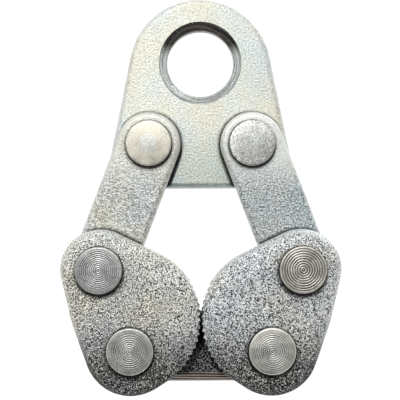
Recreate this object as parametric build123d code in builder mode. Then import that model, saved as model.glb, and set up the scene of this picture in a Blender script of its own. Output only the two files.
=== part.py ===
"""Double cam lifting clamp: head plate with an eye, two links, two toothed jaws, a tie bar and six riveted pins.

Millimetres. The origin is the middle of the eye bore, +Z is up, and the front of the clamp faces -Y.
The jaws are drawn closed, which is how the clamp hangs from its eye.
"""

import os
from math import asin, ceil, cos, degrees, floor, radians, sin

from build123d import *

# Head plate
eye_bore_diameter = 29.0
eye_rim_chamfer = 3.5
crown_radius = 31.0
crown_drop = 3.0
plate_thickness = 12.0
plate_edge_round = 2.6
plate_corner_radius = 9.0
plate_corner_out = 9.0
plate_corner_drop = 10.3

# Linkage, pin centre to pin centre, and the lean of the jaws from upright when they are closed
head_pin_drop = 35.4
head_pin_spacing = 44.3
link_length = 57.2
jaw_pin_distance = 36.1
pivot_spacing = 59.3
jaw_lean = 20.9

# Links and tie bar
link_width = 27.0
link_thickness = 8.0
link_edge_round = 2.4
tie_width = 30.0
tie_thickness = 10.0
tie_edge_round = 4.0

# Jaws: two bosses, a bulging outer side, and a nose whose centre lies outward of and above the pivot
jaw_thickness = 12.0
jaw_front_round = 5.0
jaw_back_round = 3.2
jaw_slope_width = 8.0
jaw_slope_radius = 20.0
slope_nose_inset = 6.0
pivot_boss_radius = 19.7
link_boss_radius = 16.8
outer_bulge = 1.0
nose_out = 1.0
nose_up = 12.5
nose_stock = 1.4
tooth_pitch = 2.9
tooth_depth = 0.8
mesh_clearance = 0.7
teeth_top_angle = 35.0
teeth_bottom_angle = -49.0

# Pins and rear washers
pin_diameter = 12.0
head_diameter = 19.6
head_height = 3.4
head_crown = 0.3
head_chamfer = 0.6
tail_diameter = 17.0
tail_height = 3.6
washer_diameter = 22.0
washer_thickness = 2.0
washer_chamfer = 0.3

# Clearances: radial in the holes, axial between layers that move on each other
seat_clearance = 0.03
running_clearance = 0.08
open_pivot_clearance = 0.6
layer_gap = 0.2
end_gap = 0.1

# Pin centres in the closed pose
half_head = head_pin_spacing / 2
half_pivot = pivot_spacing / 2
link_pin_x = half_pivot + jaw_pin_distance * sin(radians(jaw_lean))
link_angle = degrees(asin((link_pin_x - half_head) / link_length))
head_pin_z = -head_pin_drop
link_pin_z = head_pin_z - link_length * cos(radians(link_angle))
pivot_z = link_pin_z - jaw_pin_distance * cos(radians(jaw_lean))

# Layers, as distances in front of the middle of the head plate
plate_front = plate_thickness / 2
link_back = plate_front + layer_gap
link_front = link_back + link_thickness
tie_back = link_front - tie_thickness
jaw_back = link_front + layer_gap
jaw_front = jaw_back + jaw_thickness

# Nose radius that lets the two rows of teeth stand in each other's grooves with the mesh clearance
nose_radius = half_pivot + nose_out + (tooth_depth - mesh_clearance) / 2

# Hole radii
pin_radius = pin_diameter / 2
seat_radius = pin_radius + seat_clearance
running_radius = pin_radius + running_clearance
open_pivot_radius = pin_radius + open_pivot_clearance

LEFT = -1
RIGHT = 1


def front_plane(distance):
    """Plane facing the front, with X to the right and Z upward in the sketch."""
    return Plane.XZ.offset(distance)


def round_rims(part, radius):
    """Round the edges of the front face and the back face of a flat piece."""
    faces = part.faces().sort_by(Axis.Y)
    fillet(faces[0].edges() + faces[-1].edges(), radius=radius)


def build_eye_plate():
    with BuildPart() as eye_plate:
        with BuildSketch(front_plane(-plate_front)):
            with Locations((0, -crown_drop)):
                Circle(crown_radius)
            corner_x = half_head + plate_corner_out
            corner_z = head_pin_z - plate_corner_drop
            with Locations((-corner_x, corner_z), (corner_x, corner_z)):
                Circle(plate_corner_radius)
            make_hull()
        extrude(amount=plate_thickness)
        round_rims(eye_plate, plate_edge_round)
        with BuildSketch(front_plane(-plate_front)):
            Circle(eye_bore_diameter / 2)
            with Locations((-half_head, head_pin_z), (half_head, head_pin_z)):
                Circle(seat_radius)
        extrude(amount=plate_thickness, mode=Mode.SUBTRACT)
        bore = eye_plate.edges().filter_by(GeomType.CIRCLE)
        bore = bore.filter_by(lambda edge: abs(edge.radius - eye_bore_diameter / 2) < 0.01)
        chamfer(bore, length=eye_rim_chamfer)
    return eye_plate.part


def build_link(side):
    with BuildPart() as link:
        top = (side * half_head, head_pin_z)
        bottom = (side * link_pin_x, link_pin_z)
        middle = ((top[0] + bottom[0]) / 2, (top[1] + bottom[1]) / 2)
        with BuildSketch(front_plane(link_back)):
            with Locations(middle):
                SlotCenterToCenter(link_length, link_width, rotation=90 + side * link_angle)
        extrude(amount=link_thickness)
        round_rims(link, link_edge_round)
        with BuildSketch(front_plane(link_back)):
            with Locations(top):
                Circle(running_radius)
            with Locations(bottom):
                Circle(seat_radius)
        extrude(amount=link_thickness, mode=Mode.SUBTRACT)
    return link.part


def build_tie_bar():
    with BuildPart() as tie_bar:
        with BuildSketch(front_plane(tie_back)):
            with Locations((0, pivot_z)):
                SlotCenterToCenter(pivot_spacing, tie_width)
        extrude(amount=tie_thickness)
        round_rims(tie_bar, tie_edge_round)
        with BuildSketch(front_plane(tie_back)):
            with Locations((-half_pivot, pivot_z)):
                Circle(running_radius)
            with Locations((half_pivot, pivot_z)):
                Circle(open_pivot_radius)
        extrude(amount=tie_thickness, mode=Mode.SUBTRACT)
    return tie_bar.part


def build_jaw(side):
    """Cast jaw, falling away to its rounded rim in front, with teeth milled into the stock on its nose."""
    pivot = (side * half_pivot, pivot_z)
    link_pin = (side * link_pin_x, link_pin_z)
    waist = ((pivot[0] + link_pin[0]) / 2, (pivot[1] + link_pin[1]) / 2)
    waist_radius = (pivot_boss_radius + link_boss_radius) / 2 + outer_bulge
    nose = (side * (half_pivot + nose_out), pivot_z + nose_up)

    def on_nose(angle, radius):
        """Point at an angle above the inward direction from the nose centre."""
        across = radius * cos(radians(angle))
        return (nose[0] - side * across, nose[1] + radius * sin(radians(angle)))

    # The left jaw has a crest at the level of the nose centre, where the right jaw has a groove
    pitch_angle = degrees(tooth_pitch / nose_radius)
    shift = 0.5 if side == LEFT else 0.0
    lowest = ceil(teeth_bottom_angle / pitch_angle - shift + 0.5)
    highest = floor(teeth_top_angle / pitch_angle - shift - 0.5)
    grooves = [(step + shift) * pitch_angle for step in range(lowest, highest + 1)]
    quarter = pitch_angle / 4
    flank_radius = nose_radius - tooth_depth / 2
    groove_radius = nose_radius - tooth_depth
    outside_radius = nose_radius + 2 * nose_stock
    teeth_middle = (teeth_top_angle + teeth_bottom_angle) / 2

    # Wider body whose large front round reaches inward over the slope's width
    slope_outside = jaw_slope_radius - jaw_slope_width
    with BuildPart() as sloping_front:
        with BuildSketch(front_plane(jaw_front)):
            with Locations(pivot):
                Circle(pivot_boss_radius + slope_outside)
            with Locations(link_pin):
                Circle(link_boss_radius + slope_outside)
            with Locations(waist):
                Circle(waist_radius + slope_outside)
            with Locations((nose[0] - side * slope_nose_inset, nose[1])):
                Circle(nose_radius - slope_nose_inset + slope_outside)
            make_hull()
        extrude(amount=-2 * jaw_slope_radius)
        fillet(sloping_front.faces().sort_by(Axis.Y)[0].edges(), radius=jaw_slope_radius)

    with BuildPart() as jaw:
        with BuildSketch(front_plane(jaw_back)):
            with Locations(pivot):
                Circle(pivot_boss_radius)
            with Locations(link_pin):
                Circle(link_boss_radius)
            with Locations(waist):
                Circle(waist_radius)
            with BuildLine():
                ThreePointArc(
                    on_nose(-90, nose_radius),
                    on_nose(0, nose_radius),
                    on_nose(90, nose_radius),
                )
            with BuildLine():
                ThreePointArc(
                    on_nose(teeth_bottom_angle, nose_radius),
                    on_nose(teeth_middle, nose_radius + nose_stock),
                    on_nose(teeth_top_angle, nose_radius),
                )
            make_hull()
        extrude(amount=jaw_thickness)
        fillet(jaw.faces().sort_by(Axis.Y)[0].edges(), radius=jaw_front_round)
        fillet(jaw.faces().sort_by(Axis.Y)[-1].edges(), radius=jaw_back_round)
        add(sloping_front.part, mode=Mode.INTERSECT)

        # Round grooves and round crests in turn, closed outside the nose
        with BuildSketch(front_plane(jaw_back)):
            with BuildLine():
                for angle in grooves:
                    ThreePointArc(
                        on_nose(angle - quarter, flank_radius),
                        on_nose(angle, groove_radius),
                        on_nose(angle + quarter, flank_radius),
                    )
                for angle in grooves[:-1]:
                    ThreePointArc(
                        on_nose(angle + quarter, flank_radius),
                        on_nose(angle + 2 * quarter, nose_radius),
                        on_nose(angle + 3 * quarter, flank_radius),
                    )
                lower_end = on_nose(grooves[0] - 2 * quarter, outside_radius)
                upper_end = on_nose(grooves[-1] + 2 * quarter, outside_radius)
                Line(on_nose(grooves[0] - quarter, flank_radius), lower_end)
                Line(on_nose(grooves[-1] + quarter, flank_radius), upper_end)
                ThreePointArc(lower_end, on_nose(teeth_middle, outside_radius), upper_end)
            make_face()
        extrude(amount=jaw_thickness, mode=Mode.SUBTRACT)

        with BuildSketch(front_plane(jaw_back)):
            with Locations(pivot):
                Circle(seat_radius)
            with Locations(link_pin):
                Circle(running_radius)
        extrude(amount=jaw_thickness, mode=Mode.SUBTRACT)
    return jaw.part


def cap_middle(base_radius, height):
    """Radius and drop, below the top, of the point halfway along a spherical cap."""
    sphere = (base_radius**2 + height**2) / (2 * height)
    half = asin(base_radius / sphere) / 2
    return sphere * sin(half), sphere * (1 - cos(half))


def build_pin(x, z, back, front, back_gap, front_gap):
    """Turned pin with a slightly crowned head in front and a riveted tail behind its washer."""
    tail_base = back - back_gap - washer_thickness
    tail_end = tail_base - tail_height
    tail_radius = tail_diameter / 2
    tail_middle, tail_drop = cap_middle(tail_radius, tail_height)
    head_base = front + front_gap
    head_top = head_base + head_height
    head_radius = head_diameter / 2
    crown_edge = head_radius - head_chamfer
    crown_middle, crown_middle_drop = cap_middle(crown_edge, head_crown)
    shoulder = head_top - head_crown
    with BuildPart() as pin:
        with BuildSketch(Plane(origin=(x, 0, z), x_dir=(1, 0, 0), z_dir=(0, 0, -1))):
            with BuildLine():
                ThreePointArc(
                    (0, tail_end),
                    (tail_middle, tail_end + tail_drop),
                    (tail_radius, tail_base),
                )
                Polyline(
                    (tail_radius, tail_base),
                    (pin_radius, tail_base),
                    (pin_radius, head_base),
                    (head_radius, head_base),
                    (head_radius, shoulder - head_chamfer),
                    (crown_edge, shoulder),
                )
                ThreePointArc(
                    (crown_edge, shoulder),
                    (crown_middle, head_top - crown_middle_drop),
                    (0, head_top),
                )
                Line((0, head_top), (0, tail_end))
            make_face()
        revolve(axis=Axis((x, 0, z), (0, -1, 0)))
    return pin.part


def build_washer(x, z, back, back_gap):
    """Plain washer between the back of a stack and the riveted tail of its pin."""
    with BuildPart() as washer:
        with BuildSketch(front_plane(back - back_gap - washer_thickness)):
            with Locations((x, z)):
                Circle(washer_diameter / 2)
                Circle(seat_radius, mode=Mode.SUBTRACT)
        extrude(amount=washer_thickness)
        rims = washer.edges().filter_by(GeomType.CIRCLE)
        rims = rims.filter_by(lambda edge: edge.radius > (pin_diameter + washer_diameter) / 4)
        chamfer(rims, length=washer_chamfer)
    return washer.part


pieces = {"eye_plate": build_eye_plate(), "tie_bar": build_tie_bar()}

for word, side in (("left", LEFT), ("right", RIGHT)):
    pieces[word + "_link"] = build_link(side)
    pieces[word + "_jaw"] = build_jaw(side)

    # Each pin with its place, the back and front of its stack, and the end gaps where the stack turns on it
    stations = {
        "head": (side * half_head, head_pin_z, -plate_front, link_front, 0, end_gap),
        "link": (side * link_pin_x, link_pin_z, link_back, jaw_front, 0, end_gap),
        "pivot": (side * half_pivot, pivot_z, tie_back, jaw_front, end_gap, 0),
    }
    for station, (x, z, back, front, back_gap, front_gap) in stations.items():
        name = word + "_" + station
        pieces[name + "_pin"] = build_pin(x, z, back, front, back_gap, front_gap)
        pieces[name + "_washer"] = build_washer(x, z, back, back_gap)

os.makedirs("parts", exist_ok=True)
for name, piece in pieces.items():
    piece.label = name
    export_step(piece, "parts/" + name + ".step")
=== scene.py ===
import math
import random
from typing import NamedTuple

import bmesh
import bpy
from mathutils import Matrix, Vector, noise


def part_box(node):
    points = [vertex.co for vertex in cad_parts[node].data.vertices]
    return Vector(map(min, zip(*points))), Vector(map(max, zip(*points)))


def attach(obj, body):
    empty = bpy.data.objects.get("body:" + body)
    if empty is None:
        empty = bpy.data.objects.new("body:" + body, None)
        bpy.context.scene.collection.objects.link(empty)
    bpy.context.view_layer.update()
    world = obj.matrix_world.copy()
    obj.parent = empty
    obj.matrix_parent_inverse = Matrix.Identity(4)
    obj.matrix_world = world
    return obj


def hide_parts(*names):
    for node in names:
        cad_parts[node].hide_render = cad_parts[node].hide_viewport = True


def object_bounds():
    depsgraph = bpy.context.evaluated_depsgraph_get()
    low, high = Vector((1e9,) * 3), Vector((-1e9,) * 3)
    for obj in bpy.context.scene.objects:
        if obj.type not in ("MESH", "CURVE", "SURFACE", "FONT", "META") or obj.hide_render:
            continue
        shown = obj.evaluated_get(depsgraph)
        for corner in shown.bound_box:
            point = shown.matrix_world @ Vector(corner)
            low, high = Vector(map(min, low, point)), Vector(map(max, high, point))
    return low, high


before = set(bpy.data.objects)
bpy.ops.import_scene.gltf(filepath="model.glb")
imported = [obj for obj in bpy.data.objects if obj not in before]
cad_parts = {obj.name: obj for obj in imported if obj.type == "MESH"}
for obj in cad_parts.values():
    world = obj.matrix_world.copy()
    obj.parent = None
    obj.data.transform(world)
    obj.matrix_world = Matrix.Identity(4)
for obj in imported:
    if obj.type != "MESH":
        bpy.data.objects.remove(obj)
cad_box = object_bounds()

scene = bpy.context.scene
scene.view_settings.view_transform = "Standard"

MM = 0.001
X, Y, Z = range(3)
SIDES = ("left", "right")
STATIONS = ("head", "link", "pivot")

# Bodies that carry the pins
PIN_BODY = {"head": "head", "link": "{side}_link_arm", "pivot": "{side}_jaw_arm"}

# Pin heads, in front, and the width over which the lathe rings on them fade out
HEAD_HEIGHT = 3.4 * MM
HEAD_CROWN = 0.3 * MM
HEAD_EDGE = 0.6 * MM
HEAD_FOOT = 0.25 * MM
RING_FADE = 1.6 * MM

# Pin shanks, and the riveted tails behind
PIN_RADIUS = 6.0 * MM
TAIL_RADIUS = 8.5 * MM
TAIL_HEIGHT = 3.6 * MM
TAIL_RIM = 0.4 * MM

# Hammer marks on the tails: how far they lie from the middle, and the rim that they leave plain
DENT_COUNT = 9
DENT_RADIUS = 1.6 * MM
DENT_DEPTH = 0.22 * MM
DENT_NEAREST = 2 * MM
DENT_FARTHEST = 7 * MM
PLAIN_RIM_HEIGHT = 0.6 * MM
PLAIN_RIM_WIDTH = 0.3 * MM

# Mesh of the pins: steps along the section and round it, and the angle from which an edge is sharp
FACE_STEPS = 100
EDGE_STEPS = 6
DOME_STEPS = 14
PIN_SEGMENTS = 144
SHARP_ANGLE = math.radians(40)

# Steel of the pins: sizes of its streaks along the rings, grain, smears over the grooves, and stains
STREAK_SIZE = 0.22 * MM
STREAK_DEPTH = 0.02 * MM
STEEL_GRAIN = 0.8 * MM
STEEL_GRAIN_DEPTH = 0.03 * MM
SMEAR_SIZE = 3.5 * MM
STAIN_SIZE = 6 * MM

# Distance between the pins in the noise, so that their stains differ
STAIN_SHIFT = 30 * MM

# A head's face and its rim differ in colour. The face ends with the rings, but sooner on the head pins.
HEAD_PIN_FACE = 5.5 * MM
FACE_BLEND = 3 * MM

# Cast skin of the jaws: size of the mesh's faces, and the size and depth of its grains and of its waves
CAST_FACE = 0.32 * MM
GRAIN_SIZE = 0.9 * MM
GRAIN_DEPTH = 0.1 * MM
GRAIN_GAIN = 0.62
WAVE_SIZE = 8.0 * MM
WAVE_DEPTH = 0.2 * MM

# Share of that depth on the jaws' side walls and teeth
WALL_SHARE = 0.35

# Finish of the jaws: fine sand, the share of the skin's grains in its light and dark, and clouds of tint
SAND_SIZE = 0.48 * MM
SAND_DEPTH = 0.5 * MM
SKIN_SHARE = 0.15
CAST_CLOUDS = 18 * MM

# Heights above a jaw's lowest point between which painted shade grows, darker towards the bottom
JAW_SHADE_START = 36 * MM
JAW_SHADE_FULL = 8 * MM

# Depths below a jaw's highest point between which its hollows grow paler, painted light towards the top
JAW_LIT_START = 26 * MM
JAW_LIT_FULL = 8 * MM

# Zinc on plate: sizes of its clouds of tint, mottle and grain, and the colour of its worn rims
ZINC_CLOUDS = 20 * MM
ZINC_MOTTLE = 4 * MM
ZINC_MOTTLE_DEPTH = 0.06 * MM
ZINC_GRAIN = 0.75 * MM
ZINC_WORN = (0.86, 0.86, 0.84)

# Pits in that zinc: their spacing, the share of it to their edge, the most that they show, and their colour
ZINC_PITS = 4 * MM
ZINC_PIT_EDGE = 0.09
ZINC_PIT_COVER = 0.5
ZINC_PITTED = (0.25, 0.25, 0.24)

# Links: depth of the grain, and depths below a link's top between which its zinc grows paler, as painted
# light
LINK_GRAIN_DEPTH = 0.33 * MM
LINK_LIT_START = 36 * MM
LINK_LIT_FULL = 16 * MM
LINK_LIT_SHARE = 0.75

# Heights from the middle of the eye between which the plate grows bluer and darker, a tint with painted
# shade, and the bore's wall takes painted shade
PLATE_BLUE_START = -25 * MM
PLATE_BLUE_FULL = -50 * MM
BORE_SHADE_START = 3 * MM
BORE_SHADE_FULL = 9 * MM

# Walls within this reach of the middle of the eye are the bore's, smoother and with turning lines
BORE_REACH = 18 * MM
BORE_BLEND = 1 * MM
BORE_POLISH = 0.3
BORE_LINES = 0.6 * MM
BORE_LINE_DEPTH = 0.12 * MM

# Tie bar: depth of its grain, and reach of the painted shade round what lies on it
BAR_GRAIN_DEPTH = 0.15 * MM
BAR_SHADE_REACH = 6 * MM

# Rolling lines of the tie bar, and the strip that they cover above the lower edge of its faces
ROLL_PITCH = 1.05 * MM
ROLL_DEPTH = 0.15 * MM
ROLL_WOBBLE = 6.0
ROLL_WOBBLE_SIZE = 1.2 * MM
ROLL_STRIP = 4.1 * MM
ROLL_STRIP_FADE = 0.6 * MM

# Painted shade: its colour, the most that it covers, the rays that find it, and its reach in seams and
# crevices
SHADE_COLOUR = (0.02, 0.02, 0.018)
SHADE_COVER = 0.93
SHADE_SAMPLES = 12
SEAM = 1.2 * MM
CREVICE = 4 * MM

# Span that holds most of a noise's values
NOISE_SPAN = (0.3, 0.7)


class Nodes:
    """Short calls that add nodes to a tree and link them."""

    def __init__(self, tree):
        self.tree = tree

    def add(self, kind, **settings):
        node = self.tree.nodes.new(kind)
        for name, value in settings.items():
            setattr(node, name, value)
        return node

    def put(self, socket, value):
        """Link a socket to another, or set its value."""
        if isinstance(value, bpy.types.NodeSocket):
            self.tree.links.new(value, socket)
        elif socket.type == "RGBA" and len(value) == 3:
            socket.default_value = (*value, 1.0)
        else:
            socket.default_value = value

    def maths(self, operation, first, second=0.0):
        node = self.add("ShaderNodeMath", operation=operation)
        self.put(node.inputs[0], first)
        self.put(node.inputs[1], second)
        return node.outputs[0]

    def plus(self, first, second):
        return self.maths("ADD", first, second)

    def minus(self, first, second):
        return self.maths("SUBTRACT", first, second)

    def times(self, first, second):
        return self.maths("MULTIPLY", first, second)

    def larger(self, first, second):
        return self.maths("MAXIMUM", first, second)

    def absolute(self, value):
        return self.maths("ABSOLUTE", value)

    def distance(self, first, second):
        """Length of a line from its reach along two axes."""
        return self.maths("SQRT", self.plus(self.times(first, first), self.times(second, second)))

    def axes(self, vector):
        """The X, Y and Z of a vector."""
        node = self.add("ShaderNodeSeparateXYZ")
        self.put(node.inputs[0], vector)
        return node.outputs

    def spread(self, value, low, high, to_low=0.0, to_high=1.0):
        """Map a range of a value, smoothly, to another range."""
        node = self.add("ShaderNodeMapRange", interpolation_type="SMOOTHSTEP")
        self.put(node.inputs["Value"], value)
        node.inputs["From Min"].default_value = low
        node.inputs["From Max"].default_value = high
        node.inputs["To Min"].default_value = to_low
        node.inputs["To Max"].default_value = to_high
        return node.outputs["Result"]

    def rays(self):
        """1 for rays from the camera, and 1 for rays that were mirrored or let through."""
        path = self.add("ShaderNodeLightPath").outputs
        return path["Is Camera Ray"], self.larger(path["Is Glossy Ray"], path["Is Transmission Ray"])


class Look(Nodes):
    """A material whose node tree is built from left to right."""

    def __init__(self, name):
        self.material = bpy.data.materials.new(name)
        self.material.use_nodes = True
        super().__init__(self.material.node_tree)
        self.shader = self.tree.nodes["Principled BSDF"]
        self.place = self.add("ShaderNodeTexCoord").outputs["Object"]

    def height(self):
        """Height, in metres, in the object's own frame."""
        return self.axes(self.place)[Z]

    def radius(self):
        """Distance, in metres, from the Y axis of the object's own frame."""
        place = self.axes(self.place)
        return self.distance(place[X], place[Z])

    def outward(self):
        """The X, Y and Z of the direction in which a face looks."""
        return self.axes(self.add("ShaderNodeTexCoord").outputs["Normal"])

    def facing(self):
        """1 on faces that look to the front or the back, 0 on side walls."""
        return self.absolute(self.outward()[Y])

    def rims(self, start=0.98, full=0.6, most=1.0):
        """0 on flat faces, growing to the most on rims and side walls, between two values of facing."""
        return self.spread(self.facing(), start, full, 0.0, most)

    def mapped(self, scale=(1, 1, 1), offset=(0, 0, 0)):
        node = self.add("ShaderNodeMapping")
        self.put(node.inputs["Vector"], self.place)
        node.inputs["Location"].default_value = offset
        node.inputs["Scale"].default_value = scale
        return node.outputs["Vector"]

    def noise(self, size, vector, detail=2.0, roughness=0.6):
        """Noise whose features are about as long as the size, in metres."""
        node = self.add("ShaderNodeTexNoise")
        self.put(node.inputs["Vector"], vector)
        node.inputs["Scale"].default_value = 1 / size
        node.inputs["Detail"].default_value = detail
        node.inputs["Roughness"].default_value = roughness
        return node.outputs["Fac"]

    def cells(self, size, vector):
        """Distance from the middles of cells that are about as wide as the size, in metres."""
        node = self.add("ShaderNodeTexVoronoi")
        self.put(node.inputs["Vector"], vector)
        node.inputs["Scale"].default_value = 1 / size
        return node.outputs["Distance"]

    def noted(self, name):
        """A value that the mesh's points hold under a name."""
        return self.add("ShaderNodeAttribute", attribute_name=name).outputs["Fac"]

    def blend(self, factor, first, second, mode="MIX"):
        node = self.add("ShaderNodeMix", data_type="RGBA", blend_type=mode)
        self.put(node.inputs["Factor"], factor)
        self.put(node.inputs[6], first)
        self.put(node.inputs[7], second)
        return node.outputs[2]

    def tinted(self, colour, tint):
        """A colour times a tint or a shade."""
        return self.blend(1.0, colour, tint, "MULTIPLY")

    def ramp(self, value, *stops):
        """Colours at positions along a value."""
        node = self.add("ShaderNodeValToRGB")
        self.put(node.inputs["Fac"], value)
        elements = node.color_ramp.elements
        while len(elements) < len(stops):
            elements.new(0.5)
        for element, (position, colour) in zip(elements, stops):
            element.position = position
            element.color = (*colour, 1.0)
        return node.outputs["Color"]

    def bump(self, height, depth, before=None):
        """Relief of a height, from 0 to 1, times a depth in metres."""
        node = self.add("ShaderNodeBump")
        self.put(node.inputs["Height"], height)
        node.inputs["Distance"].default_value = depth
        if before:
            self.put(node.inputs["Normal"], before)
        return node.outputs["Normal"]

    def crevice_shaded(self, colour, reach, unshaded=0.74, black=0.6, lean=0.0):
        """Paint shade into a colour in the crevices, out to a reach in metres, between two shares of open
        sky.

        A lean above 0 looks for the open sky further up, so that more painted shade falls below a ledge than
        above, as a painted shadow.
        """
        node = self.add("ShaderNodeAmbientOcclusion", samples=SHADE_SAMPLES)
        node.inputs["Distance"].default_value = reach
        if lean:
            tilted = self.add("ShaderNodeVectorMath", operation="ADD")
            self.put(tilted.inputs[0], self.add("ShaderNodeNewGeometry").outputs["Normal"])
            tilted.inputs[1].default_value = (0, 0, lean)
            unit = self.add("ShaderNodeVectorMath", operation="NORMALIZE")
            self.put(unit.inputs[0], tilted.outputs["Vector"])
            self.put(node.inputs["Normal"], unit.outputs["Vector"])
        cover = self.spread(node.outputs["AO"], unshaded, black, 0.0, SHADE_COVER)
        return self.blend(cover, colour, SHADE_COLOUR)

    def seam_and_ledge_shaded(self, colour, unshaded, black, lean):
        """A thin line of painted shade along the seams, and a wider painted shadow below the ledges."""
        lined = self.crevice_shaded(colour, SEAM, unshaded=0.85, black=0.6)
        return self.crevice_shaded(lined, CREVICE, unshaded, black, lean)

    def finish(self, colour, roughness, normal):
        self.put(self.shader.inputs["Base Color"], colour)
        self.put(self.shader.inputs["Roughness"], roughness)
        self.put(self.shader.inputs["Normal"], normal)
        self.shader.inputs["Metallic"].default_value = 1.0
        return self.material


def zinc(name, tone, warm, cool, speckle, grain_depth, offset):
    """Zinc on steel plate: fine grain, faint warm and cool passivation tints, small pits, worn rims."""
    look = Look(name)
    place = look.mapped(offset=offset)
    clouds = look.noise(ZINC_CLOUDS, place, roughness=0.5)
    mottle = look.noise(ZINC_MOTTLE, place, detail=3.0)
    grain = look.noise(ZINC_GRAIN, place)
    colour = look.ramp(clouds, (0.36, warm), (0.5, tone), (0.62, cool))
    colour = look.tinted(colour, look.spread(grain, *NOISE_SPAN, 1 - speckle, 1.04))
    colour = look.tinted(colour, look.spread(mottle, *NOISE_SPAN, 0.95, 1.02))
    pits = look.spread(look.cells(ZINC_PITS, place), 0.0, ZINC_PIT_EDGE, ZINC_PIT_COVER, 0.0)
    colour = look.blend(pits, colour, ZINC_PITTED)
    worn = look.times(look.rims(), look.spread(mottle, 0.35, 0.6, 0.2, 0.7))
    colour = look.blend(worn, colour, ZINC_WORN)
    roughness = look.spread(mottle, *NOISE_SPAN, 0.55, 0.63)
    normal = look.bump(mottle, ZINC_MOTTLE_DEPTH, look.bump(grain, grain_depth))
    return look, colour, roughness, normal


def eye_plate_zinc():
    """The plate's zinc, bluer and darker lower down as a tint with painted shade, painted shade in its
    crevices, and the bore's turned wall, painted dark on its upper part as painted shade.
    """
    look, colour, roughness, normal = zinc(
        "eye_plate_zinc",
        tone=(0.82, 0.84, 0.78),
        warm=(0.84, 0.83, 0.72),
        cool=(0.77, 0.82, 0.8),
        speckle=0.36,
        grain_depth=0.2 * MM,
        offset=(0, 0, 0),
    )
    height = look.height()
    # Bluer and darker lower down: a tint of the zinc, with painted shade
    bluer = look.tinted(colour, (0.84, 0.91, 0.95))
    colour = look.blend(look.spread(height, PLATE_BLUE_START, PLATE_BLUE_FULL), colour, bluer)
    # Painted shade in the crevices, and a painted shadow below the ledges
    colour = look.crevice_shaded(colour, CREVICE, unshaded=0.78, black=0.62)
    colour = look.crevice_shaded(colour, CREVICE, lean=0.5)
    inside = look.spread(look.radius(), BORE_REACH + BORE_BLEND, BORE_REACH)
    wall = look.times(inside, look.rims(start=0.9, full=0.8))
    lines = look.noise(BORE_LINES, look.mapped(scale=(0.03, 1, 0.03)))
    turned = look.ramp(lines, (0.38, (0.38, 0.41, 0.4)), (0.6, (0.93, 0.96, 0.93)))
    # The bore's upper wall is painted near black, as painted shade
    shaded_wall = look.ramp(lines, (0.38, (0.008, 0.008, 0.01)), (0.65, (0.17, 0.155, 0.14)))
    turned = look.blend(look.spread(height, BORE_SHADE_START, BORE_SHADE_FULL), turned, shaded_wall)
    colour = look.blend(wall, colour, turned)
    roughness = look.minus(roughness, look.times(wall, BORE_POLISH))
    normal = look.bump(look.times(lines, wall), BORE_LINE_DEPTH, normal)
    return look.finish(colour, roughness, normal)


def link_zinc(side, tone, warm, cool, lit_top_tone, speckle, offset):
    """A link's zinc, paler at the upper end as painted light, with painted shade in its crevices, and at the
    upper end along its seams and below the pin.
    """
    name = side + "_link_zinc"
    look, colour, roughness, normal = zinc(name, tone, warm, cool, speckle, LINK_GRAIN_DEPTH, offset)
    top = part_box(side + "_link")[1].z
    upper = look.spread(look.height(), top - LINK_LIT_START, top - LINK_LIT_FULL)
    # The upper end is painted paler, as painted light
    colour = look.blend(look.times(upper, LINK_LIT_SHARE), colour, lit_top_tone)
    # At the upper end, a painted line of shade along the seams and a painted shadow below the pin; lower
    # down, painted shade in the crevices
    pin_shade = look.seam_and_ledge_shaded(colour, unshaded=0.72, black=0.58, lean=0.6)
    colour = look.blend(upper, look.crevice_shaded(colour, CREVICE), pin_shade)
    return look.finish(colour, roughness, normal)


def washer_zinc():
    """The washers' zinc, with less grain than the plate's, and painted shade in its crevices."""
    look, colour, roughness, normal = zinc(
        "washer_zinc",
        tone=(0.66, 0.68, 0.68),
        warm=(0.7, 0.66, 0.55),
        cool=(0.58, 0.65, 0.68),
        speckle=0.2,
        grain_depth=0.03 * MM,
        offset=(0.1, 0.2, 0.3),
    )
    # Painted shade in the crevices
    return look.finish(look.crevice_shaded(colour, CREVICE), roughness, normal)


def jaw_cast(side, tone, hollow, lit_top_hollow, offset):
    """Zinc on a sand casting: dark hollows between bright grains, partly painted shade of the relief, paler
    above as painted light and darker below as painted shade.
    """
    look = Look(side + "_jaw_cast")
    place = look.mapped(offset=offset)
    clouds = look.noise(CAST_CLOUDS, place, roughness=0.5)
    sand = look.noise(SAND_SIZE, place, detail=1.0)
    skin = look.noted("relief")
    grain = look.plus(look.times(skin, SKIN_SHARE), look.times(sand, 1 - SKIN_SHARE))
    height = look.height()
    low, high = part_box(side + "_jaw")
    # Darker towards the bottom as painted shade, and the hollows paler towards the top as painted light
    low_shade = look.spread(height, low.z + JAW_SHADE_START, low.z + JAW_SHADE_FULL)
    upper = look.spread(height, high.z - JAW_LIT_START, high.z - JAW_LIT_FULL)
    unshaded = look.blend(look.spread(grain, 0.4, 0.56), look.blend(upper, hollow, lit_top_hollow), tone)
    shaded_grain = look.ramp(grain, (0.49, SHADE_COLOUR), (0.69, tone))
    colour = look.blend(low_shade, unshaded, shaded_grain)
    # The lower rims and side walls are painted dark, as painted shade
    shaded_rim = look.times(look.rims(start=0.93, full=0.6, most=0.65), low_shade)
    colour = look.blend(shaded_rim, colour, SHADE_COLOUR)
    worn_rim = look.times(look.rims(start=0.92, full=0.65, most=0.25), look.minus(1.0, low_shade))
    colour = look.blend(worn_rim, colour, tone)
    warm = (1.0, 0.98, 0.92)
    even = (0.98, 0.98, 0.97)
    cool = (0.94, 0.96, 0.98)
    colour = look.tinted(colour, look.ramp(clouds, (0.36, warm), (0.5, even), (0.64, cool)))
    # A painted line of shade along the seams, and a painted shadow below the pins
    colour = look.seam_and_ledge_shaded(colour, unshaded=0.77, black=0.64, lean=0.7)
    roughness = look.spread(grain, *NOISE_SPAN, 0.6, 0.48)
    return look.finish(colour, roughness, look.bump(sand, SAND_DEPTH))


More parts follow.
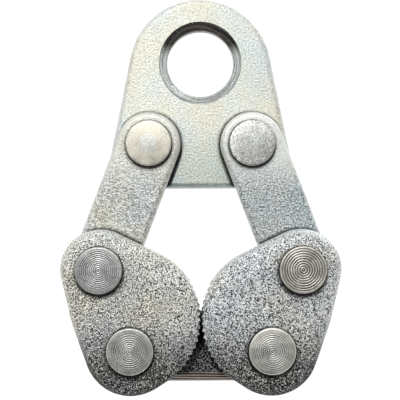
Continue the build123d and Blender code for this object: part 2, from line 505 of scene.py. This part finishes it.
def bar_zinc():
    """Rough zinc, painted dark in front as painted shade and plain behind, with rolling lines along the
    bar's straight edges.
    """
    look = Look("tie_bar_zinc")
    grain = look.noise(ZINC_GRAIN, look.mapped(offset=(0.3, 0, 0.1)))
    outward = look.outward()
    # Dark ramp for the front faces, which is painted shade; the back keeps the plain ramp
    shaded_grain = look.ramp(grain, (0.48, (0.006, 0.006, 0.007)), (0.59, (0.6, 0.6, 0.63)))
    back_grain = look.ramp(grain, (0.36, (0.17, 0.17, 0.175)), (0.62, (0.56, 0.56, 0.57)))
    colour = look.blend(look.spread(outward[Y], 0.3, -0.3), back_grain, shaded_grain)
    above_edge = look.minus(look.height(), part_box("tie_bar")[0].z)
    wobble = look.times(look.noise(ROLL_WOBBLE_SIZE, look.mapped(scale=(0.05, 1, 1))), ROLL_WOBBLE)
    turns = look.times(above_edge, 2 * math.pi / ROLL_PITCH)
    lines = look.spread(look.maths("SINE", look.plus(turns, wobble)), -0.4, 0.5)
    rolled = look.ramp(lines, (0.15, (0.008, 0.007, 0.006)), (0.85, (0.5, 0.45, 0.41)))
    rolled = look.tinted(rolled, look.spread(look.facing(), 0.25, 0.95, 0.35, 1.0))
    strip = look.spread(above_edge, ROLL_STRIP + ROLL_STRIP_FADE, ROLL_STRIP)
    straight = look.spread(look.absolute(outward[X]), 0.35, 0.1)
    edges = look.times(look.larger(look.rims(), strip), straight)
    # Painted shade round the jaws that lie in front of the bar
    colour = look.crevice_shaded(look.blend(edges, colour, rolled), BAR_SHADE_REACH, unshaded=0.8, black=0.5)
    roughness = look.spread(grain, *NOISE_SPAN, 0.6, 0.45)
    normal = look.bump(look.times(lines, edges), ROLL_DEPTH, look.bump(grain, BAR_GRAIN_DEPTH))
    return look.finish(colour, roughness, normal)


def turned_steel(name, speckle, rim, face, groove, face_reach, offset):
    """Lathe turned steel: dark grooves, smeared here and there, streaks along them, grain, stains and
    painted shade in the crevices.
    """
    look = Look(name)
    place = look.mapped(offset=offset)
    radius = look.radius()
    along_radius = look.add("ShaderNodeCombineXYZ")
    look.put(along_radius.inputs["X"], radius)
    streaks = look.noise(STREAK_SIZE, along_radius.outputs[0])
    stains = look.noise(STAIN_SIZE, place, detail=3.0, roughness=0.55)
    grain = look.noise(STEEL_GRAIN, place)
    colour = look.blend(look.spread(radius, face_reach, face_reach - FACE_BLEND), rim, face)
    smeared = look.spread(look.noise(SMEAR_SIZE, place), 0.4, 0.6, 0.7, 1.0)
    colour = look.blend(look.times(look.noted("groove"), smeared), colour, groove)
    colour = look.tinted(colour, look.spread(stains, *NOISE_SPAN, 0.78, 1.05))
    colour = look.tinted(colour, look.spread(grain, *NOISE_SPAN, 1 - speckle, 1.05))
    colour = look.tinted(colour, look.spread(streaks, *NOISE_SPAN, 0.88, 1.06))
    # Painted shade on the walls of the head and round its foot
    colour = look.crevice_shaded(colour, CREVICE, unshaded=0.95, black=0.7)
    roughness = look.spread(stains, *NOISE_SPAN, 0.45, 0.53)
    normal = look.bump(grain, STEEL_GRAIN_DEPTH, look.bump(streaks, STREAK_DEPTH))
    return look.finish(colour, roughness, normal)


def dress(node, material):
    """Give a CAD node a finish."""
    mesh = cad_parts[node].data
    mesh.materials.clear()
    mesh.materials.append(material)


def add_piece(name, mesh, body, node, material):
    """A new piece that stands for a node, rides on its body and takes its slot's finish."""
    piece = bpy.data.objects.new(name, mesh)
    scene.collection.objects.link(piece)
    mesh.materials.clear()
    mesh.materials.append(material)
    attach(piece, body)
    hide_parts(node)
    return piece


def within_one(value):
    """The value, kept between 0 and 1."""
    return min(1.0, max(0.0, value))


def even_mesh(node, face_size):
    """The node's shape as a mesh of small even faces."""
    rough = bpy.data.objects.new(node + "_rough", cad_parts[node].data.copy())
    scene.collection.objects.link(rough)
    remesh = rough.modifiers.new("even", "REMESH")
    remesh.mode = "VOXEL"
    remesh.voxel_size = face_size
    mesh = bpy.data.meshes.new_from_object(rough.evaluated_get(bpy.context.evaluated_depsgraph_get()))
    bpy.data.objects.remove(rough)
    return mesh


def cast_skin(mesh, shift):
    """Sink the mesh's points by the hollows of a sand casting, and note each point's height."""
    heights = []
    moved = []
    for vertex in mesh.vertices:
        place = vertex.co + shift
        grain = within_one(0.5 + GRAIN_GAIN * noise.noise(place / GRAIN_SIZE))
        wave = within_one(0.5 + noise.noise(place / WAVE_SIZE))
        share = WALL_SHARE + (1 - WALL_SHARE) * abs(vertex.normal.y)
        sink = share * (GRAIN_DEPTH * (1 - grain) + WAVE_DEPTH * (1 - wave))
        heights.append(grain)
        moved.append(vertex.co - vertex.normal * sink)
    for vertex, place in zip(mesh.vertices, moved):
        vertex.co = place
    mesh.attributes.new("relief", "FLOAT", "POINT").data.foreach_set("value", heights)
    mesh.shade_smooth()


def cast_jaw(side, tone, hollow, lit_top_hollow, shift):
    """A jaw with the skin and the finish of a sand casting."""
    node = side + "_jaw"
    mesh = even_mesh(node, CAST_FACE)
    cast_skin(mesh, Vector(shift))
    cast = jaw_cast(side, tone, hollow, lit_top_hollow, shift)
    add_piece(node + "_skin", mesh, side + "_jaw_arm", node, cast)


class Rings(NamedTuple):
    """Lathe rings on a pin's head: their pitch, depth and reach from the middle, and the dip there."""

    pitch: float
    depth: float
    reach: float
    dip: float


def turned_profile(front, back, head_radius, rings):
    """Radius, Y and groove of points round half the pin's section, from the head's middle to the tail's."""
    points = []
    face_edge = head_radius - HEAD_EDGE
    for step in range(1, FACE_STEPS + 1):
        radius = face_edge * step / FACE_STEPS
        crown = HEAD_CROWN * (radius / face_edge) ** 2
        fade = within_one((rings.reach - radius) / RING_FADE)
        groove = fade * (0.5 - 0.5 * math.cos(2 * math.pi * radius / rings.pitch))
        points.append((radius, front + crown + rings.depth * groove, groove))
    for step in range(1, EDGE_STEPS + 1):
        angle = math.pi / 2 * step / EDGE_STEPS
        radius = face_edge + HEAD_EDGE * math.sin(angle)
        points.append((radius, front + HEAD_CROWN + HEAD_EDGE * (1 - math.cos(angle)), 0))
    head_base = front + HEAD_HEIGHT
    points.append((head_radius, head_base - HEAD_FOOT, 0))
    points.append((head_radius - HEAD_FOOT, head_base, 0))
    points.append((PIN_RADIUS, head_base, 0))
    tail_base = back - TAIL_HEIGHT
    points.append((PIN_RADIUS, tail_base, 0))
    points.append((TAIL_RADIUS - TAIL_RIM, tail_base, 0))
    points.append((TAIL_RADIUS, tail_base + TAIL_RIM, 0))
    for step in range(1, DOME_STEPS):
        angle = math.pi / 2 * step / DOME_STEPS
        y = tail_base + TAIL_RIM + (TAIL_HEIGHT - TAIL_RIM) * math.sin(angle)
        points.append((TAIL_RADIUS * math.cos(angle), y, 0))
    return points


def hammer_marks(seed):
    """X and Z of the hammer marks on a tail."""
    draw = random.Random(seed)
    marks = []
    for mark in range(DENT_COUNT):
        angle = draw.uniform(0, 2 * math.pi)
        radius = draw.uniform(DENT_NEAREST, DENT_FARTHEST)
        marks.append((radius * math.cos(angle), radius * math.sin(angle)))
    return marks


def hammered(point, tail_base, marks):
    """A point of a pin, sunk where hammer marks lie on the tail."""
    x, y, z = point
    if y < tail_base + PLAIN_RIM_HEIGHT or math.hypot(x, z) > TAIL_RADIUS - PLAIN_RIM_WIDTH:
        return point
    for mark_x, mark_z in marks:
        away = math.hypot(x - mark_x, z - mark_z)
        y -= DENT_DEPTH * math.exp(-((away / DENT_RADIUS) ** 2))
    return x, y, z


def revolved_mesh(name, front, circles, back):
    """Smooth mesh through circles of points, closed by one point in front and one behind."""
    shape = bmesh.new()
    first = shape.verts.new(front)
    rows = [[shape.verts.new(point) for point in circle] for circle in circles]
    last = shape.verts.new(back)
    for segment in range(PIN_SEGMENTS):
        after = (segment + 1) % PIN_SEGMENTS
        shape.faces.new((first, rows[0][segment], rows[0][after]))
        shape.faces.new((last, rows[-1][after], rows[-1][segment]))
        for row, next_row in zip(rows, rows[1:]):
            shape.faces.new((row[segment], next_row[segment], next_row[after], row[after]))
    bmesh.ops.recalc_face_normals(shape, faces=shape.faces)
    mesh = bpy.data.meshes.new(name)
    shape.to_mesh(mesh)
    shape.free()
    mesh.shade_smooth()
    mesh.set_sharp_from_angle(angle=SHARP_ANGLE)
    return mesh


def turned_pin(node, body, rings, seed, material):
    """Revolved pin with its lathe rings, and hammer marks on the riveted tail."""
    low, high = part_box(node)
    middle = (low + high) / 2
    head_radius = (high.x - low.x) / 2
    tail_base = high.y - TAIL_HEIGHT
    marks = hammer_marks(seed)
    angles = [2 * math.pi * segment / PIN_SEGMENTS for segment in range(PIN_SEGMENTS)]
    circles = []
    grooves = [0.0]
    for radius, y, groove in turned_profile(low.y, high.y, head_radius, rings):
        circle = [(radius * math.cos(angle), y, radius * math.sin(angle)) for angle in angles]
        circles.append([hammered(point, tail_base, marks) for point in circle])
        grooves += [groove] * PIN_SEGMENTS
    grooves.append(0.0)
    front = (0, low.y + rings.dip, 0)
    back = hammered((0, high.y, 0), tail_base, marks)
    mesh = revolved_mesh(node + "_turned", front, circles, back)
    mesh.attributes.new("groove", "FLOAT", "POINT").data.foreach_set("value", grooves)
    piece = add_piece(node + "_turned", mesh, body, node, material)
    piece.location = (middle.x, 0, middle.z)


# Links: the right one bluer and more speckled, with a paler upper end that is painted light
LINKS = {
    "left": dict(
        tone=(0.84, 0.86, 0.83),
        warm=(0.86, 0.85, 0.76),
        cool=(0.79, 0.84, 0.86),
        lit_top_tone=(0.77, 0.77, 0.7),
        speckle=0.66,
        offset=(0.05, 0.02, 0.01),
    ),
    "right": dict(
        tone=(0.79, 0.85, 0.86),
        warm=(0.81, 0.84, 0.8),
        cool=(0.74, 0.83, 0.86),
        lit_top_tone=(0.89, 0.9, 0.85),
        speckle=0.78,
        offset=(0.11, 0.06, 0.04),
    ),
}

# Jaws: the left one warmer and the right one cooler, their hollows paler near the top as painted light
JAWS = {
    "left": dict(
        tone=(0.98, 0.98, 0.94),
        hollow=(0.045, 0.045, 0.04),
        lit_top_hollow=(0.16, 0.16, 0.14),
        shift=(0.01, 0.03, 0.02),
    ),
    "right": dict(
        tone=(0.96, 0.98, 0.98),
        hollow=(0.065, 0.07, 0.07),
        lit_top_hollow=(0.12, 0.13, 0.13),
        shift=(0.21, 0.05, 0.07),
    ),
}

# Lathe rings: faint on the head pins, the boldest on the right link pin
HEAD_RINGS = Rings(pitch=0.9 * MM, depth=0.012 * MM, reach=8.2 * MM, dip=0.15 * MM)
LEFT_LINK_RINGS = Rings(pitch=0.82 * MM, depth=0.09 * MM, reach=9.0 * MM, dip=0.1 * MM)
RIGHT_LINK_RINGS = Rings(pitch=1.03 * MM, depth=0.14 * MM, reach=9.9 * MM, dip=0.1 * MM)
PIVOT_RINGS = Rings(pitch=0.88 * MM, depth=0.09 * MM, reach=8.5 * MM, dip=0.1 * MM)

# Pins: rings, how strong the speckle is, and the colours of the head's rim, its face and the grooves
PINS = {
    "left_head_pin": (
        HEAD_RINGS,
        dict(speckle=0.2, rim=(0.7, 0.68, 0.59), face=(0.7, 0.75, 0.73), groove=(0.64, 0.6, 0.5)),
    ),
    "right_head_pin": (
        HEAD_RINGS,
        dict(speckle=0.55, rim=(0.87, 0.89, 0.86), face=(0.85, 0.88, 0.86), groove=(0.6, 0.61, 0.59)),
    ),
    "left_link_pin": (
        LEFT_LINK_RINGS,
        dict(speckle=0.36, rim=(0.7, 0.72, 0.7), face=(0.97, 0.98, 0.97), groove=(0.09, 0.1, 0.09)),
    ),
    "right_link_pin": (
        RIGHT_LINK_RINGS,
        dict(speckle=0.25, rim=(0.76, 0.73, 0.66), face=(0.93, 0.91, 0.84), groove=(0.03, 0.025, 0.02)),
    ),
    "left_pivot_pin": (
        PIVOT_RINGS,
        dict(speckle=0.3, rim=(0.8, 0.81, 0.77), face=(0.98, 0.98, 0.95), groove=(0.13, 0.13, 0.12)),
    ),
    "right_pivot_pin": (
        PIVOT_RINGS,
        dict(speckle=0.12, rim=(0.88, 0.87, 0.8), face=(0.98, 0.97, 0.93), groove=(0.26, 0.25, 0.22)),
    ),
}

# Finishes of the plate, links, bar and washers
dress("eye_plate", eye_plate_zinc())
for side, finish in LINKS.items():
    dress(side + "_link", link_zinc(side, **finish))
dress("tie_bar", bar_zinc())
washer = washer_zinc()
for side in SIDES:
    for station in STATIONS:
        dress(side + "_" + station + "_washer", washer)

# New meshes for the jaws and the pins
for side, finish in JAWS.items():
    cast_jaw(side, **finish)
for number, (node, (rings, finish)) in enumerate(PINS.items()):
    side, station = node.split("_")[:2]
    body = PIN_BODY[station].format(side=side)
    face_reach = HEAD_PIN_FACE if station == "head" else rings.reach
    offset = (number * STAIN_SHIFT, 0, 0)
    steel = turned_steel(node + "_steel", **finish, face_reach=face_reach, offset=offset)
    turned_pin(node, body, rings, number, steel)

# Camera for a square picture, square to the clamp but for a slight roll
CAMERA_PLACE = (-0.00025, -0.4764, -0.0597)
CAMERA_ROLL = math.radians(0.2)
SENSOR_WIDTH = 36
FOCAL_LENGTH = 97.2
camera_data = bpy.data.cameras.new("camera")
camera_data.sensor_width = SENSOR_WIDTH
camera_data.lens = FOCAL_LENGTH
camera = bpy.data.objects.new("camera", camera_data)
scene.collection.objects.link(camera)
camera.location = CAMERA_PLACE
camera.rotation_euler = (math.radians(90), CAMERA_ROLL, 0)
scene.camera = camera


def area_lamp(name, place, aim, size, spread, power, colour):
    """Square lamp at a place that looks at an aim, with a beam that fades out to the spread in degrees."""
    data = bpy.data.lights.new(name, "AREA")
    data.size = size
    data.spread = math.radians(spread)
    data.energy = power
    data.color = colour
    lamp = bpy.data.objects.new(name, data)
    scene.collection.objects.link(lamp)
    lamp.location = place
    lamp.rotation_euler = (Vector(aim) - Vector(place)).to_track_quat("-Z", "Y").to_euler()


# A small key lamp behind and above the camera, and a soft lamp behind and above the clamp
area_lamp(
    "key",
    place=(-0.08, -0.62, 0.22),
    aim=(-0.01, 0, -0.04),
    size=0.02,
    spread=60,
    power=0.2,
    colour=(1.0, 0.995, 0.98),
)
area_lamp(
    "rear",
    place=(0.3, 0.45, 0.45),
    aim=(0, 0, -0.05),
    size=0.3,
    spread=180,
    power=0.8,
    colour=(1.0, 1.0, 1.0),
)


def studio_world():
    """White for the camera, a weak soft light, and in reflections a room that is dark in front and below."""
    soft = 0.05
    back_wall = 1.0
    side_wall = 0.85
    ceiling = 1.1
    world = bpy.data.worlds.new("studio")
    world.use_nodes = True
    nodes = Nodes(world.node_tree)
    direction = nodes.axes(nodes.add("ShaderNodeTexCoord").outputs["Generated"])
    behind = nodes.spread(direction[Y], 0.0, 0.4, 0.0, back_wall)
    beside = nodes.spread(nodes.absolute(direction[X]), 0.25, 0.55, 0.0, side_wall)
    not_below = nodes.spread(direction[Z], -0.45, -0.1)
    overhead = nodes.spread(direction[Z], 0.2, 0.5, 0.0, ceiling)
    walls = nodes.times(nodes.larger(behind, beside), not_below)
    room = nodes.larger(walls, overhead)
    from_camera, reflected = nodes.rays()
    light = nodes.plus(nodes.times(reflected, nodes.minus(room, soft)), soft)
    background = world.node_tree.nodes["Background"]
    background.inputs["Color"].default_value = (1, 1, 1, 1)
    nodes.put(background.inputs["Strength"], nodes.larger(light, from_camera))
    scene.world = world


def white_stage():
    """Pale paper that takes the shadow.

    The camera sees it grow white away from the clamp. Reflections show it bright below and behind the clamp.
    """
    paper = 0.8
    near_clamp = 0.8
    far_away = 1.0
    floor_glow = 0.95
    wall_glow = 1.0
    white_span = (0.3, 0.75)
    floor_span = (-0.65, -0.15)
    wall_span = (0.3, 0.7)
    material = bpy.data.materials.new("stage_white")
    material.use_nodes = True
    nodes = Nodes(material.node_tree)
    nodes.tree.nodes.remove(nodes.tree.nodes["Principled BSDF"])
    diffuse = nodes.add("ShaderNodeBsdfDiffuse")
    diffuse.inputs["Color"].default_value = (paper, paper, paper, 1)
    place = nodes.axes(nodes.add("ShaderNodeNewGeometry").outputs["Position"])
    seen = nodes.spread(nodes.distance(place[X], place[Y]), *white_span, near_clamp, far_away)
    floor = nodes.spread(place[Y], *floor_span, 0.0, floor_glow)
    wall = nodes.spread(place[Y], *wall_span, 0.0, wall_glow)
    from_camera, reflected = nodes.rays()
    mirrored = nodes.times(reflected, nodes.larger(floor, wall))
    glow = nodes.add("ShaderNodeEmission")
    nodes.put(glow.inputs["Strength"], nodes.larger(nodes.times(from_camera, seen), mirrored))
    both = nodes.add("ShaderNodeAddShader")
    nodes.put(both.inputs[0], diffuse.outputs[0])
    nodes.put(both.inputs[1], glow.outputs[0])
    nodes.put(nodes.tree.nodes["Material Output"].inputs["Surface"], both.outputs[0])
    return material


def sweep_stage():
    """Floor far below the hanging clamp, curved up into a wall behind it."""
    drop = 0.5
    front_y = -1.6
    wall_y = 0.8
    wall_top = 1.2
    half_width = 1.6
    bend = 0.25
    bend_steps = 24
    floor_z = cad_box[0].z - drop
    outline = [(front_y, floor_z), (wall_y - bend, floor_z)]
    for step in range(1, bend_steps + 1):
        angle = math.pi / 2 * step / bend_steps
        outline.append((wall_y - bend + bend * math.sin(angle), floor_z + bend * (1 - math.cos(angle))))
    outline.append((wall_y, wall_top))
    shape = bmesh.new()
    rows = [[shape.verts.new((x, y, z)) for x in (-half_width, half_width)] for y, z in outline]
    for low, high in zip(rows, rows[1:]):
        shape.faces.new((low[0], low[1], high[1], high[0]))
    mesh = bpy.data.meshes.new("stage")
    shape.to_mesh(mesh)
    shape.free()
    mesh.shade_smooth()
    mesh.materials.append(white_stage())
    stage = bpy.data.objects.new("stage", mesh)
    scene.collection.objects.link(stage)


studio_world()
sweep_stage()
